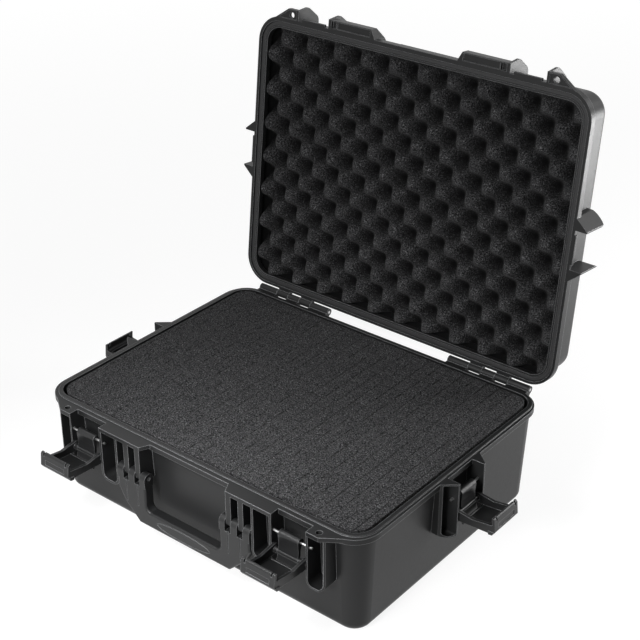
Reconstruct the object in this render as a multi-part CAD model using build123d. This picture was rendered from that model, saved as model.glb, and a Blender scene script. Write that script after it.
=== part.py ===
from build123d import *

import math
import os

# Hard case with a hinged lid, millimetres. X runs along the front, the front faces -Y and +Z is up.
# The origin is the centre of the flat bottom face. The lid is drawn open, the latches thrown open and the
# handle hanging. Outlines beside the rim are written as (along, outward, up) from the lip's edge at the
# ridge's top.

# Shells
opening_length = 504.4
opening_width = 373.8
opening_corner = 26.0
wall = 3.8
draft = 2.5
base_height = 148.0
floor_thickness = 4.0
outer_rounding = 12.0
inner_rounding = 8.0
joining_overlap = 1.0
choice_margin = 1.0
same_level = 0.01

# Rim of the base: the ridge presses into the gasket, the lip carries the brackets
ridge_width = 5.8
ridge_height = 1.7
ridge_rounding = 0.7
lip_beyond_ridge_side = 3.9
lip_beyond_ridge_front = 6.8
lip_beyond_ridge_back = 2.5
lip_height = 7.3
lip_skin = 3.0
lip_corner = 38.0

# Lid
lid_depth = 60.0
lid_open_angle = 96.2
parting_gap = 0.3
lid_lip_side_overhang = 1.2
lid_lip_back_overhang = 2.3
lid_lip_height = 9.9
tongue_width = 3.2
tongue_overlap = 0.3
tongue_gap = 0.6
ridge_side_gap = 0.6
gasket_gap = 0.3
gasket_thickness = 3.4
gasket_side_gap = 0.2
gasket_rounding = 1.2
lid_panel_margin = 46.0
lid_panel_height = 2.0
lid_panel_corner = 22.0
lid_panel_rounding = 1.5

# Hinges: two rows of knuckles on one axis behind the lip
hinge_axis_beyond_lip = 9.8
hinge_axis_drop = 1.4
hinge_knuckle_radius = 5.2
hinge_pin_radius = 2.0
hinge_pin_clearance = 0.05
hinge_outer_inset = 28.4
hinge_end_knuckle = 33.0
hinge_middle_knuckle = 21.0
hinge_middle_count = 3
hinge_knuckle_gap = 0.5
hinge_web_height = 26.0
lid_hinge_web_height = 8.0

# Latch bays and what flanks them
front_latch_inset = 92.9
side_latch_y = -1.0
bay_half = 26.0
rib_root_depth = 14.0
rib_drop = 80.0
rib_corner = 9.0
front_rib_reach = 13.5
front_rib_face = 18.0
front_rib_shoulder = 7.0
front_rib_shoulder_drop = 4.5
front_rib_wall = 2.4
side_rib_reach = 17.5
side_rib_face = 2.2
side_rib_spread = 16.5
side_rib_wall = 2.2
side_rib_corner = 5.5
tab_reach = 14.0
tab_face = 18.0
tab_slope = 31.0
tab_slope_depth = 7.5
tab_thickness = 6.0
padlock_hole_radius = 4.0
padlock_hole_along = 13.0
padlock_hole_reach = 5.4
tab_pocket_depth = 2.0
tab_outline_wall = 1.6
lid_rib_height = 44.0
lid_rib_bulge = 3.0
lid_rib_bulge_height = 20.0
lid_rib_rounding = 11.0
lid_rib_thickness = 3.5
ledge_half = 20.0
ledge_reach = 3.5
ledge_top = 2.0
ledge_pocket_depth = 1.9
catch_gap = 0.4

# Latch: a lever plate hangs on the upper pin and carries the claw on its lower pin
lever_pin_drop = 26.0
lever_pin_reach = 9.0
lever_pin_radius = 1.6
pin_clearance = 0.05
pin_seat_depth = 6.0
lever_half_width = 15.0
lever_barrel_radius = 5.4
lever_thickness = 4.0
lever_face = [(0.0, 5.4), (10.0, 4.4), (17.0, 4.6), (24.0, 6.0), (32.0, 8.2), (40.0, 10.5)]
claw_pin_drop = 24.0
claw_pin_shift = 3.5
claw_boss_radius = 3.4
claw_pin_radius = 1.6
claw_half_width = 25.2
claw_arm_thickness = 4.0
claw_arm_half_height = 7.2
claw_hub_radius = 4.0
claw_hub_gap = 0.4
claw_waist_gap = 0.5
claw_rest_tilt = 6.0
claw_hook_thickness = 3.6
claw_hook_lip = 13.0
claw_bar_back = 9.5
claw_bar_top = 2.5
claw_bar_bottom = 10.5
claw_ear_top = 5.8
claw_ear_half = 26.4
claw_stop_out = 8.4
claw_stop_drop = 9.0
claw_stop_radius = 1.8
claw_notch_width = 2.4
claw_notch_depth = 5.0
claw_notch_inset = 5.0
claw_toe_back = 4.0
claw_toe_up = 4.5
claw_rounding = 3.0
claw_step = 1.0
claw_floor_thickness = 1.8
claw_recess_depth = 0.6
claw_recess_margin = 3.0
claw_recess_half_height = 3.4

# Carry handle and its brackets
bracket_root = 65.0
bracket_inner = 71.8
bracket_reach = 13.5
bracket_top_thickness = 5.3
bracket_wall = 3.4
bracket_drop = 79.0
bracket_corner = 11.0
bracket_prong_pitch = 19.5
bracket_rib_width = 8.2
bracket_first_rib = 76.0
handle_side_gap = 0.5
handle_end_gap = 1.4
handle_axis_drop = 48.0
handle_axis_reach = 8.5
handle_knuckle_radius = 7.6
handle_pin_radius = 2.5
handle_opening_half = 62.5
handle_web_drop = 10.5
handle_shoulder_drop = 26.0
handle_hip_drop = 46.0
handle_hip_half = 99.0
grip_half = 76.0
grip_top_drop = 45.0
grip_height = 23.0
grip_corner = 8.0
handle_rounding = 3.0
handle_groove_width = 1.2
handle_groove_depth = 1.2
handle_groove_length = 32.0
grip_pad_half_length = 45.0
grip_pad_half_height = 7.6
grip_pad_line = 1.1
grip_pad_depth = 0.9

# Brackets of the lid, shallower and closed above
lid_bracket_reach = 12.5
lid_bracket_face_height = 11.0
lid_bracket_height = 33.0
lid_bracket_pocket_depth = 2.0
lid_bracket_pocket_wall = 1.6
lid_bracket_pocket_end = 128.0

# Bare plate on the front of the lid
name_plate_length = 96.0
name_plate_height = 20.0
name_plate_thickness = 1.2
name_plate_bottom = 16.0
name_plate_seat_border = 2.5
name_plate_seat_reach = -8.4

# Foam
base_foam_side_gap = 4.2
foam_wall_gap = 0.5
base_foam_proud = 0.4
foam_layer_gap = 0.3
foam_floor_gap = 0.3
foam_pad_thickness = 12.0
foam_edge_rounding = 9.0
lid_foam_side_gap = 0.5
lid_foam_top_gap = 0.3
lid_foam_recess = 1.0
bump_pitch_along = 46.4
bump_pitch_across = 49.8
bump_height = 24.0
bump_shift_along = -13.0
bump_shift_across = 6.0

# Planes, axes and lengths that follow
parting = base_height - ridge_height
lid_bottom = parting + parting_gap
lid_top = lid_bottom + lid_depth
lid_rim_up = parting_gap - ridge_height
ridge_length = opening_length + 2 * ridge_width
ridge_breadth = opening_width + 2 * ridge_width
lip_half_length = ridge_length / 2 + lip_beyond_ridge_side
lip_front = -ridge_breadth / 2 - lip_beyond_ridge_front
lip_back = ridge_breadth / 2 + lip_beyond_ridge_back
hinge_axis_y = lip_back + hinge_axis_beyond_lip
hinge_axis_z = base_height - hinge_axis_drop
hinge_length = 2 * hinge_end_knuckle + hinge_middle_count * hinge_middle_knuckle
front_latch_x = lip_half_length - front_latch_inset
bracket_outer = front_latch_x - bay_half
handle_outer = bracket_first_rib + 2 * bracket_prong_pitch - bracket_rib_width / 2 - handle_side_gap
claw_pin_reach = lever_pin_reach + claw_pin_shift
claw_pin_up = -lever_pin_drop - claw_pin_drop
hook_inside = ledge_top + catch_gap - claw_pin_up
claw_length = hook_inside + claw_hook_thickness
lever_hole_radius = lever_pin_radius + pin_clearance
handle_outer_face = handle_axis_reach + handle_knuckle_radius
handle_inner_face = handle_axis_reach - handle_knuckle_radius

right_side = Location((lip_half_length, side_latch_y, base_height), (0, 0, 90))
left_side = Location((-lip_half_length, side_latch_y, base_height), (0, 0, -90))
front_right = Location((front_latch_x, lip_front, base_height))
front_left = Location((-front_latch_x, lip_front, base_height))
front_middle = Location((0, lip_front, base_height))
latch_places = {
    "front_left": front_left,
    "front_right": front_right,
    "left": left_side,
    "right": right_side,
}


def plan_prism(points, bottom, top):
    """Upright prism over an outline of (along, outward) points."""
    outline = make_face(Polyline(*[(x, -out, bottom) for x, out in points], close=True))
    return extrude(outline, top - bottom, dir=(0, 0, 1))


def side_prism(points, left, right, rounding=0.0, rounded=None):
    """Prism along X over an outline of (outward, up) points, with some corners rounded."""
    outline = make_face(Polyline(*[(left, -out, up) for out, up in points], close=True))
    if rounded:
        picked = [v for v in outline.vertices() if rounded(v)]
        outline = fillet(picked, rounding)
    return extrude(outline, right - left, dir=(1, 0, 0))


def face_prism(points, corner, inner, outer, rounded=None):
    """Prism square to the face over an outline of (along, up) points, with some corners rounded."""
    outline = make_face(Polyline(*[(x, -inner, up) for x, up in points], close=True))
    if rounded:
        picked = [v for v in outline.vertices() if rounded(v)]
        outline = fillet(picked, corner)
    return extrude(outline, outer - inner, dir=(0, -1, 0))


def rod(radius, left, right, out, up):
    """Round bar along X."""
    return Pos((left + right) / 2, -out, up) * Cylinder(radius, right - left, rotation=(0, 90, 0))


def slab(length, back, front, corner, bottom, top):
    """Rounded rectangle between two depths in Y, raised from bottom to top."""
    outline = Pos(0, (back + front) / 2, bottom) * RectangleRounded(length, back - front, corner)
    return extrude(outline, top - bottom)


def drafted_slab(length, width, corner, start, height, direction):
    """Rounded rectangle that narrows by the draft angle away from its start."""
    outline = Pos(0, 0, start) * RectangleRounded(length, width, corner)
    return extrude(outline, height, dir=(0, 0, direction), taper=draft)


def end_edges(solid, up):
    """Edges of the top or bottom face."""
    faces = solid.faces().sort_by(Axis.Z)
    face = faces[-1] if up else faces[0]
    return face.edges()


def both_hands(half):
    return half + mirror(half, about=Plane.YZ)


def rim_ring(inner, outer, bottom, top):
    """Ring that follows the opening, from one offset of it to another."""
    ring = slab(opening_length + 2 * outer, opening_width / 2 + outer, -opening_width / 2 - outer,
                opening_corner + outer, bottom, top)
    return ring - slab(opening_length + 2 * inner, opening_width / 2 + inner, -opening_width / 2 - inner,
                       opening_corner + inner, bottom, top)


def shell_body(start, height, direction):
    body = drafted_slab(opening_length + 2 * wall, opening_width + 2 * wall, opening_corner + wall,
                        start, height, direction)
    return fillet(end_edges(body, direction > 0), outer_rounding)


def shell_cavity(start, height, direction):
    """Hollow of a shell, measured from the opening's plane."""
    hollow = drafted_slab(opening_length, opening_width, opening_corner, start, height, direction)
    return fillet(end_edges(hollow, direction > 0), inner_rounding)


def lip_plate(side, back, bottom, top, inset=0.0):
    half = lip_half_length + side - inset
    return slab(2 * half, lip_back + back - inset, lip_front + inset, lip_corner - inset, bottom, top)


def lower_rounded(points, drop, near, far):
    """Block hanging to a drop with both lower corners rounded, to trim a rib's foot."""
    low = min(points)
    high = max(points)
    corners = [(low, 0), (high, 0), (high, -drop), (low, -drop)]
    return face_prism(corners, rib_corner, near, far, lambda v: v.Z < -drop / 2)


def side_rib_plan():
    inner = bay_half + joining_overlap / 2
    spread = inner + side_rib_spread
    return [(bay_half, -rib_root_depth), (bay_half, side_rib_reach),
            (bay_half + side_rib_face, side_rib_reach), (spread, 0),
            (spread + side_rib_face, -rib_root_depth)]


def side_rib():
    """Hollow rib beside a side latch, with its slanted face open."""
    plan = side_rib_plan()
    rib = plan_prism(plan, -rib_drop, -ridge_height)
    rib &= lower_rounded([p[0] for p in plan], rib_drop, -rib_root_depth, side_rib_reach)
    low = bay_half + side_rib_wall
    high = bay_half + side_rib_spread - side_rib_wall
    ceiling = -ridge_height - side_rib_wall
    floor = side_rib_wall - rib_drop
    hollow = [(low, ceiling), (high, ceiling), (high, floor), (low, floor)]
    return rib - face_prism(hollow, side_rib_corner, -rib_root_depth, 2 * side_rib_reach,
                            lambda v: v.Z < -rib_drop / 2)


def side_ribs():
    """Pair of ribs beside a side latch, in the latch's own place."""
    return both_hands(side_rib())


def front_rib():
    """Open-fronted pocket under the padlock tab, on the outer side of a front latch."""
    shoulder = bay_half + front_rib_face
    outer = shoulder + front_rib_shoulder
    plan = [(bay_half, -rib_root_depth), (bay_half, front_rib_reach), (shoulder, front_rib_reach),
            (outer, front_rib_reach - front_rib_shoulder_drop), (outer, -rib_root_depth)]
    block = plan_prism(plan, -rib_drop, -ridge_height)
    block &= lower_rounded([p[0] for p in plan], rib_drop, -rib_root_depth, front_rib_reach)
    low = bay_half + front_rib_wall
    high = outer - front_rib_wall
    floor = front_rib_wall - rib_drop
    hollow = [(low, 0), (high, 0), (high, floor), (low, floor)]
    return block - face_prism(hollow, rib_corner - front_rib_wall, -rib_root_depth, front_rib_reach,
                              lambda v: v.Z < -rib_drop / 2)


def tab_plan(inset=0.0):
    low = bay_half + inset
    corner = bay_half + tab_face
    return [(low, -rib_root_depth / 2), (low, tab_reach - inset),
            (corner - inset / 2, tab_reach - inset),
            (corner + tab_slope - 2 * inset, -tab_slope_depth)]


def padlock_hole(bottom, top):
    place = Pos(bay_half + padlock_hole_along, -padlock_hole_reach, (bottom + top) / 2)
    return place * Cylinder(padlock_hole_radius, top - bottom)


def tab():
    return plan_prism(tab_plan(), -ridge_height - tab_thickness, -ridge_height)


def bracket_plan(reach):
    return [(bracket_root, -rib_root_depth), (bracket_root, 0), (bracket_inner, reach),
            (bracket_outer, reach), (bracket_outer, -rib_root_depth)]


def bracket_rib(centre):
    """Rib that carries the handle's pin, rounded about it."""
    left = centre - bracket_rib_width / 2
    right = centre + bracket_rib_width / 2
    end_radius = bracket_reach - handle_axis_reach
    web = side_prism([(-rib_root_depth, -ridge_height), (bracket_reach, -ridge_height),
                      (bracket_reach, -handle_axis_drop), (handle_axis_reach, -handle_axis_drop - end_radius),
                      (-rib_root_depth, -handle_axis_drop - 2 * end_radius)], left, right)
    trim = side_prism([(handle_axis_reach, -handle_axis_drop), (bracket_reach + 1, -handle_axis_drop),
                       (bracket_reach + 1, -handle_axis_drop - 2 * end_radius),
                       (handle_axis_reach, -handle_axis_drop - 2 * end_radius)], left, right)
    return web - trim + rod(end_radius, left, right, handle_axis_reach, -handle_axis_drop)


def bracket_pocket():
    """Open-fronted pocket between the handle and the latch bay."""
    inner = handle_outer + handle_end_gap
    outline = [(inner, 0), (bracket_outer, 0), (bracket_outer, -bracket_drop), (inner, -bracket_drop)]
    block = face_prism(outline, bracket_corner, -rib_root_depth, bracket_reach,
                       lambda v: v.Z < -bracket_drop / 2)
    low = inner + bracket_wall
    high = bracket_outer - bracket_wall
    floor = bracket_wall - bracket_drop
    hollow = [(low, 0), (high, 0), (high, floor), (low, floor)]
    gap = face_prism(hollow, bracket_corner - bracket_wall, -rib_root_depth, bracket_reach,
                     lambda v: v.Z < -bracket_drop / 2)
    under_lip = plan_prism(bracket_plan(bracket_reach), -bracket_drop, -ridge_height)
    return (block - gap) & under_lip


def bracket():
    """Right-hand bracket: top plate, two pin ribs and the pocket."""
    top = plan_prism(bracket_plan(bracket_reach), -ridge_height - bracket_top_thickness, -ridge_height)
    ribs = bracket_rib(bracket_first_rib) + bracket_rib(bracket_first_rib + bracket_prong_pitch)
    hole_end = handle_outer + handle_end_gap + bracket_wall / 2
    hole = rod(handle_pin_radius + pin_clearance, bracket_inner, hole_end,
               handle_axis_reach, -handle_axis_drop)
    return top + ribs + bracket_pocket() - hole


def hinge_rod(radius, start, end):
    middle = Pos((start + end) / 2, hinge_axis_y, hinge_axis_z)
    return middle * Cylinder(radius, end - start, rotation=(0, 90, 0))


def hinge_spans():
    """Left and right end of each knuckle of one hinge, from the inner end outwards."""
    widths = [hinge_end_knuckle] + [hinge_middle_knuckle] * hinge_middle_count + [hinge_end_knuckle]
    spans = []
    start = lip_half_length - hinge_outer_inset - hinge_length
    for width in widths:
        spans.append((start, start + width - hinge_knuckle_gap))
        start = start + width
    return spans


def hinge_knuckle(span, web):
    """One knuckle with the web that joins it to its shell; web points are (Y, Z)."""
    outline = make_face(Polyline(*[(span[0], y, z) for y, z in web], close=True))
    joined = extrude(outline, span[1] - span[0], dir=(1, 0, 0))
    return joined + hinge_rod(hinge_knuckle_radius, span[0], span[1])


def hinge_bore(radius):
    spans = hinge_spans()
    start = spans[0][0] - joining_overlap
    end = spans[-1][1] + joining_overlap
    return hinge_rod(radius, start, end)


def base_hinge():
    root = opening_width / 2
    web = [(root, parting), (hinge_axis_y - hinge_knuckle_radius, parting), (hinge_axis_y, hinge_axis_z),
           (hinge_axis_y + hinge_knuckle_radius, hinge_axis_z), (root, parting - hinge_web_height)]
    spans = hinge_spans()
    return Compound([hinge_knuckle(span, web) for span in spans[0::2]])


def lid_hinge():
    root = lip_back - joining_overlap
    web = [(root, lid_bottom), (hinge_axis_y, lid_bottom),
           (hinge_axis_y, hinge_axis_z + hinge_knuckle_radius),
           (lip_back + lid_lip_back_overhang, lid_bottom + lid_hinge_web_height),
           (root, lid_bottom + lid_hinge_web_height)]
    spans = hinge_spans()
    return Compound([hinge_knuckle(span, web) for span in spans[1::2]])


def all_latch_bores():
    """Seats of the lever pins in the ribs beside each bay."""
    end = bay_half + pin_seat_depth
    seat = rod(lever_hole_radius, -end, end, lever_pin_reach, -lever_pin_drop)
    return [place * seat for place in latch_places.values()]


def base_shell():
    lip = lip_plate(0, 0, parting - lip_height, parting)
    channel = lip_plate(0, 0, parting - lip_height, parting - lip_skin, lip_skin)
    body = shell_body(parting, parting, -1) + (lip - channel)
    ridge = rim_ring(-wall, ridge_width, parting - joining_overlap, base_height)
    outer_top = ridge.edges().filter_by(lambda e: abs(e.center().Z - base_height) < same_level)
    body += fillet(outer_top, ridge_rounding)
    hole = padlock_hole(-ridge_height - tab_thickness, -ridge_height)
    front_half = front_right * (front_rib() + tab() - hole)
    front_half += front_middle * bracket()
    body += both_hands(front_half)
    body += right_side * side_ribs()
    body += left_side * side_ribs()
    body += both_hands(base_hinge())
    hollow = shell_cavity(base_height, base_height - floor_thickness, -1)
    body -= hollow
    body -= both_hands(hinge_bore(hinge_pin_radius + hinge_pin_clearance))
    for bore in all_latch_bores():
        body -= bore
    return body


def lid_rib(reach, left, right):
    """Tall rounded rib on the lid beside a latch bay."""
    points = [(-rib_root_depth, lid_rim_up), (reach, lid_rim_up),
              (reach + lid_rib_bulge, lid_rib_bulge_height),
              (0, lid_rib_height), (-rib_root_depth, lid_rib_height)]
    return side_prism(points, left, right, lid_rib_rounding,
                      lambda v: v.Z > lid_rim_up + choice_margin and v.Y < choice_margin)


def lid_side_rib():
    plan = side_rib_plan()
    rib = plan_prism(plan, lid_rim_up, lid_rib_height)
    trim = mirror(lower_rounded([p[0] for p in plan], lid_rib_height, -rib_root_depth, side_rib_reach),
                  about=Plane.XY)
    foot = plan_prism(plan, lid_rim_up, joining_overlap)
    return (rib & trim) + foot


def lid_tab():
    top = lid_rim_up + tab_thickness
    block = plan_prism(tab_plan(), lid_rim_up, top)
    pocket = plan_prism(tab_plan(tab_outline_wall), lid_rim_up, lid_rim_up + tab_pocket_depth)
    return block - pocket - padlock_hole(lid_rim_up, top)


def lid_bracket():
    """Block on the lid that meets the handle's bracket, with two shallow pockets in its meeting face."""
    top = lid_bracket_face_height
    block = plan_prism(bracket_plan(lid_bracket_reach), lid_rim_up, lid_bracket_height)
    slope = side_prism([(-rib_root_depth, lid_rim_up), (lid_bracket_reach, lid_rim_up),
                        (lid_bracket_reach, top), (-rib_root_depth, lid_bracket_height)],
                       bracket_root, bracket_outer)
    border = lid_bracket_pocket_wall
    high = lid_bracket_reach - border
    long_pocket = plan_prism([(bracket_inner + border, border), (bracket_inner + border, high),
                              (lid_bracket_pocket_end, high), (lid_bracket_pocket_end, border)],
                             lid_rim_up, lid_rim_up + lid_bracket_pocket_depth)
    short_end = bracket_outer - lid_rib_thickness - border
    short_start = lid_bracket_pocket_end + border
    short_pocket = plan_prism([(short_start, border), (short_start, high),
                               (short_end, high), (short_end, border)],
                              lid_rim_up, lid_rim_up + 2 * lid_bracket_pocket_depth)
    return (block & slope) - long_pocket - short_pocket


def catch_pocket():
    """Room above the catch ledge for the hook, cut into the lid's lip."""
    top = lid_lip_height
    return plan_prism([(-bay_half, -ledge_pocket_depth), (-bay_half, 2 * side_rib_reach),
                       (bay_half, 2 * side_rib_reach), (bay_half, -ledge_pocket_depth)], ledge_top, top)


def catch_ledge():
    return plan_prism([(-ledge_half, -ledge_pocket_depth), (-ledge_half, ledge_reach),
                       (ledge_half, ledge_reach), (ledge_half, -ledge_pocket_depth)],
                      lid_rim_up, ledge_top)


def name_plate_seat():
    half = name_plate_length / 2 + name_plate_seat_border
    low = name_plate_bottom - name_plate_seat_border
    high = name_plate_bottom + name_plate_height + name_plate_seat_border
    outline = [(-half, low), (half, low), (half, high), (-half, high)]
    return face_prism(outline, 0, -rib_root_depth, name_plate_seat_reach)


def lid_closed():
    lip_top = lid_bottom + lid_lip_height
    body = shell_body(lid_bottom, lid_depth, 1)
    body += lip_plate(lid_lip_side_overhang, lid_lip_back_overhang, lid_bottom, lip_top)
    panel = slab(opening_length - lid_panel_margin, (opening_width - lid_panel_margin) / 2,
                 -(opening_width - lid_panel_margin) / 2, lid_panel_corner, lid_top - joining_overlap,
                 lid_top + lid_panel_height)
    body += fillet(end_edges(panel, True), lid_panel_rounding)
    for place in latch_places.values():
        body -= place * catch_pocket()
        body += place * catch_ledge()
    inner_rib = lid_rib(lid_bracket_reach, bracket_outer - lid_rib_thickness, bracket_outer)
    outer_rib = lid_rib(front_rib_reach, bay_half, bay_half + lid_rib_thickness)
    front_half = front_middle * (lid_bracket() + inner_rib) + front_right * (lid_tab() + outer_rib)
    body += both_hands(front_half)
    body += right_side * both_hands(lid_side_rib())
    body += left_side * both_hands(lid_side_rib())
    body += front_middle * name_plate_seat()
    body += both_hands(lid_hinge())
    body -= shell_cavity(lid_bottom, lid_depth - floor_thickness, 1)
    groove_top = base_height + gasket_gap + gasket_thickness
    groove_edge = ridge_width + ridge_side_gap
    body -= slab(opening_length + 2 * groove_edge, opening_width / 2 + groove_edge,
                 -opening_width / 2 - groove_edge, opening_corner + groove_edge, lid_bottom, groove_top)
    body += rim_ring(tongue_overlap - tongue_width, tongue_overlap, base_height + tongue_gap, lip_top)
    return body - both_hands(hinge_bore(hinge_pin_radius + hinge_pin_clearance))


def gasket_closed():
    low = base_height + gasket_gap
    ring = rim_ring(tongue_overlap + gasket_side_gap, ridge_width + ridge_side_gap - gasket_side_gap,
                    low, low + gasket_thickness)
    return fillet(ring.edges().filter_by(lambda e: abs(e.center().Z - low) < same_level), gasket_rounding)


def bump_lines(pitch, shift, half):
    """Numbered lines half a pitch apart that reach past both sides."""
    step = pitch / 2
    first = math.floor((-half - shift) / step)
    last = math.ceil((half - shift) / step)
    return [(number, shift + number * step) for number in range(first, last + 1)]


def bump_corner(column, row, tip):
    """Crossing of two lines: a tip or the bottom of a hollow, turn about."""
    depth = bump_height * ((column[0] + row[0]) % 2)
    return (column[1], row[1], tip + depth)


def bump_net(columns, rows, tip):
    """Four triangles to a square of the net, which meet halfway up in its middle."""
    faces = []
    for left, right in zip(columns, columns[1:]):
        for near, far in zip(rows, rows[1:]):
            ring = [bump_corner(left, near, tip), bump_corner(right, near, tip),
                    bump_corner(right, far, tip), bump_corner(left, far, tip)]
            middle = ((left[1] + right[1]) / 2, (near[1] + far[1]) / 2, tip + bump_height / 2)
            for start, end in zip(ring, ring[1:] + ring[:1]):
                faces.append(Face(Wire.make_polygon([start, end, middle])))
    return faces


def bump_walls(columns, rows, tip, back):
    """Flat walls under the net's border, and the flat back."""
    faces = []
    for column in (columns[0], columns[-1]):
        edge = [bump_corner(column, row, tip) for row in rows]
        faces.append(edge + [(column[1], rows[-1][1], back), (column[1], rows[0][1], back)])
    for row in (rows[0], rows[-1]):
        edge = [bump_corner(column, row, tip) for column in columns]
        faces.append(edge + [(columns[-1][1], row[1], back), (columns[0][1], row[1], back)])
    left, right = columns[0][1], columns[-1][1]
    near, far = rows[0][1], rows[-1][1]
    faces.append([(left, near, back), (right, near, back), (right, far, back), (left, far, back)])
    return [Face(Wire.make_polygon(points)) for points in faces]


def bumped_block(half_length, half_width, tip, back):
    columns = bump_lines(bump_pitch_along, bump_shift_along, half_length)
    rows = bump_lines(bump_pitch_across, bump_shift_across, half_width)
    return Solid(Shell(bump_net(columns, rows, tip) + bump_walls(columns, rows, tip, back)))


def lid_foam_closed():
    """Egg-crate foam: the block that fills the lid, cut to the net of tips and hollows."""
    inset = tongue_width - tongue_overlap + lid_foam_side_gap
    low = base_height + tongue_gap + lid_foam_recess
    high = lid_bottom + lid_depth - floor_thickness - lid_foam_top_gap
    block = fillet(end_edges(foam_block(inset, low, high), True), foam_edge_rounding)
    return block & bumped_block(opening_length / 2, opening_width / 2, low, high + joining_overlap)


def name_plate_closed():
    half = name_plate_length / 2
    top = name_plate_bottom + name_plate_height
    outline = [(-half, name_plate_bottom), (half, name_plate_bottom), (half, top), (-half, top)]
    face = name_plate_seat_reach + name_plate_thickness
    return front_middle * face_prism(outline, 0, name_plate_seat_reach, face)


def opened(piece):
    """Swing a lid piece from closed to its open rest."""
    axis = Axis((0, hinge_axis_y, hinge_axis_z), (1, 0, 0))
    return piece.rotate(axis, -lid_open_angle)


def hinge_pin(hand):
    spans = hinge_spans()
    left, right = sorted((hand * spans[0][0], hand * spans[-1][1]))
    return hinge_rod(hinge_pin_radius, left, right)


def handle():
    """U-shaped handle with three knuckles at each end, drawn hanging."""
    axis_up = -handle_axis_drop
    web_top = axis_up - handle_web_drop
    grip_top = axis_up - grip_top_drop
    grip_bottom = grip_top - grip_height
    half = [(handle_outer, web_top), (handle_outer, axis_up - handle_shoulder_drop),
            (handle_hip_half, axis_up - handle_hip_drop), (grip_half, grip_bottom)]
    outline = half + [(-x, up) for x, up in reversed(half)]
    body = face_prism(outline, handle_rounding, handle_inner_face, handle_outer_face,
                      lambda v: v.Z < web_top - choice_margin)
    above = web_top + joining_overlap
    opening = [(-handle_opening_half, above), (handle_opening_half, above),
               (handle_opening_half, grip_top), (-handle_opening_half, grip_top)]
    body -= face_prism(opening, grip_corner, handle_inner_face, handle_outer_face,
                       lambda v: v.Z < grip_top + choice_margin)
    rims = body.faces().filter_by(Axis.Y).edges()
    rims = rims.filter_by(lambda e: e.center().Z < web_top - choice_margin)
    body = fillet(rims, handle_rounding)
    for hand in (-1, 1):
        body += handle_knuckles(hand, web_top)
        for number in range(2):
            centre = hand * (bracket_first_rib + number * bracket_prong_pitch)
            groove = Pos(centre, -handle_outer_face, web_top - handle_groove_length / 2) * Box(
                handle_groove_width, 2 * handle_groove_depth, handle_groove_length)
            body -= groove
    body -= rod(handle_pin_radius + pin_clearance, -handle_outer, handle_outer, handle_axis_reach, axis_up)
    return front_middle * (body - grip_pad(grip_top - grip_height / 2))


def handle_knuckles(hand, web_top):
    """Three knuckles at one end; the gaps between them take the bracket's ribs."""
    spans = [(handle_opening_half, bracket_first_rib - bracket_rib_width / 2 - handle_side_gap)]
    for number in range(2):
        low = bracket_first_rib + number * bracket_prong_pitch + bracket_rib_width / 2 + handle_side_gap
        spans.append((low, low + bracket_prong_pitch - bracket_rib_width - 2 * handle_side_gap))
    knuckles = []
    for low, high in spans:
        left, right = sorted((hand * low, hand * high))
        foot = web_top - joining_overlap
        stem = side_prism([(handle_inner_face, -handle_axis_drop), (handle_outer_face, -handle_axis_drop),
                           (handle_outer_face, foot), (handle_inner_face, foot)], left, right)
        knuckles.append(stem + rod(handle_knuckle_radius, left, right, handle_axis_reach, -handle_axis_drop))
    return Compound(knuckles)


def grip_pad(up):
    """Thin oval line pressed into the front of the grip."""
    plane = Plane((0, -handle_outer_face + grip_pad_depth, up), x_dir=(1, 0, 0), z_dir=(0, -1, 0))
    ring = Ellipse(grip_pad_half_length, grip_pad_half_height) - Ellipse(
        grip_pad_half_length - grip_pad_line, grip_pad_half_height - grip_pad_line)
    return extrude(plane * ring, 2 * grip_pad_depth)


def handle_pin(hand):
    inner = handle_opening_half + handle_side_gap
    outer = handle_outer + handle_end_gap + bracket_wall / 2
    left, right = sorted((hand * inner, hand * outer))
    return front_middle * rod(handle_pin_radius, left, right, handle_axis_reach, -handle_axis_drop)


def lever_plate():
    """Plate on the upper pin, waisted in the middle and flared out at the foot."""
    pin = lever_pin_reach
    top = -lever_pin_drop
    outer = [(pin + reach, top - drop) for drop, reach in lever_face]
    inner = [(out - lever_thickness, up) for out, up in reversed(outer[1:])]
    foot_centre = outer[-1][0] - lever_thickness / 2
    outline = outer + inner + [(pin - lever_barrel_radius / 2, top)]
    plate = side_prism(outline, -lever_half_width, lever_half_width)
    plate += rod(lever_thickness / 2, -lever_half_width, lever_half_width, foot_centre, outer[-1][1])
    plate += rod(lever_barrel_radius, -lever_half_width, lever_half_width, pin, top)
    plate += rod(claw_boss_radius, -lever_half_width, lever_half_width, claw_pin_reach, claw_pin_up)
    plate -= rod(lever_hole_radius, -lever_half_width, lever_half_width, pin, top)
    return plate - rod(claw_pin_radius, -lever_half_width, lever_half_width, claw_pin_reach, claw_pin_up)


def claw_arm(left, right):
    """Side of the frame, waisted where it passes the lever's pin with the claw raised."""
    inner_end = claw_length - claw_bar_back
    waist = claw_pin_shift - lever_pin_radius - claw_waist_gap
    points = [(0, claw_arm_half_height), (claw_pin_drop, waist), (inner_end, claw_bar_top),
              (claw_length - claw_step, claw_bar_top),
              (claw_length - claw_step, -claw_arm_half_height / 2),
              (inner_end, -claw_bar_bottom + claw_step),
              (0, -claw_arm_half_height)]
    return side_prism(points, left, right) + rod(claw_arm_half_height, left, right, 0, 0)


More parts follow.
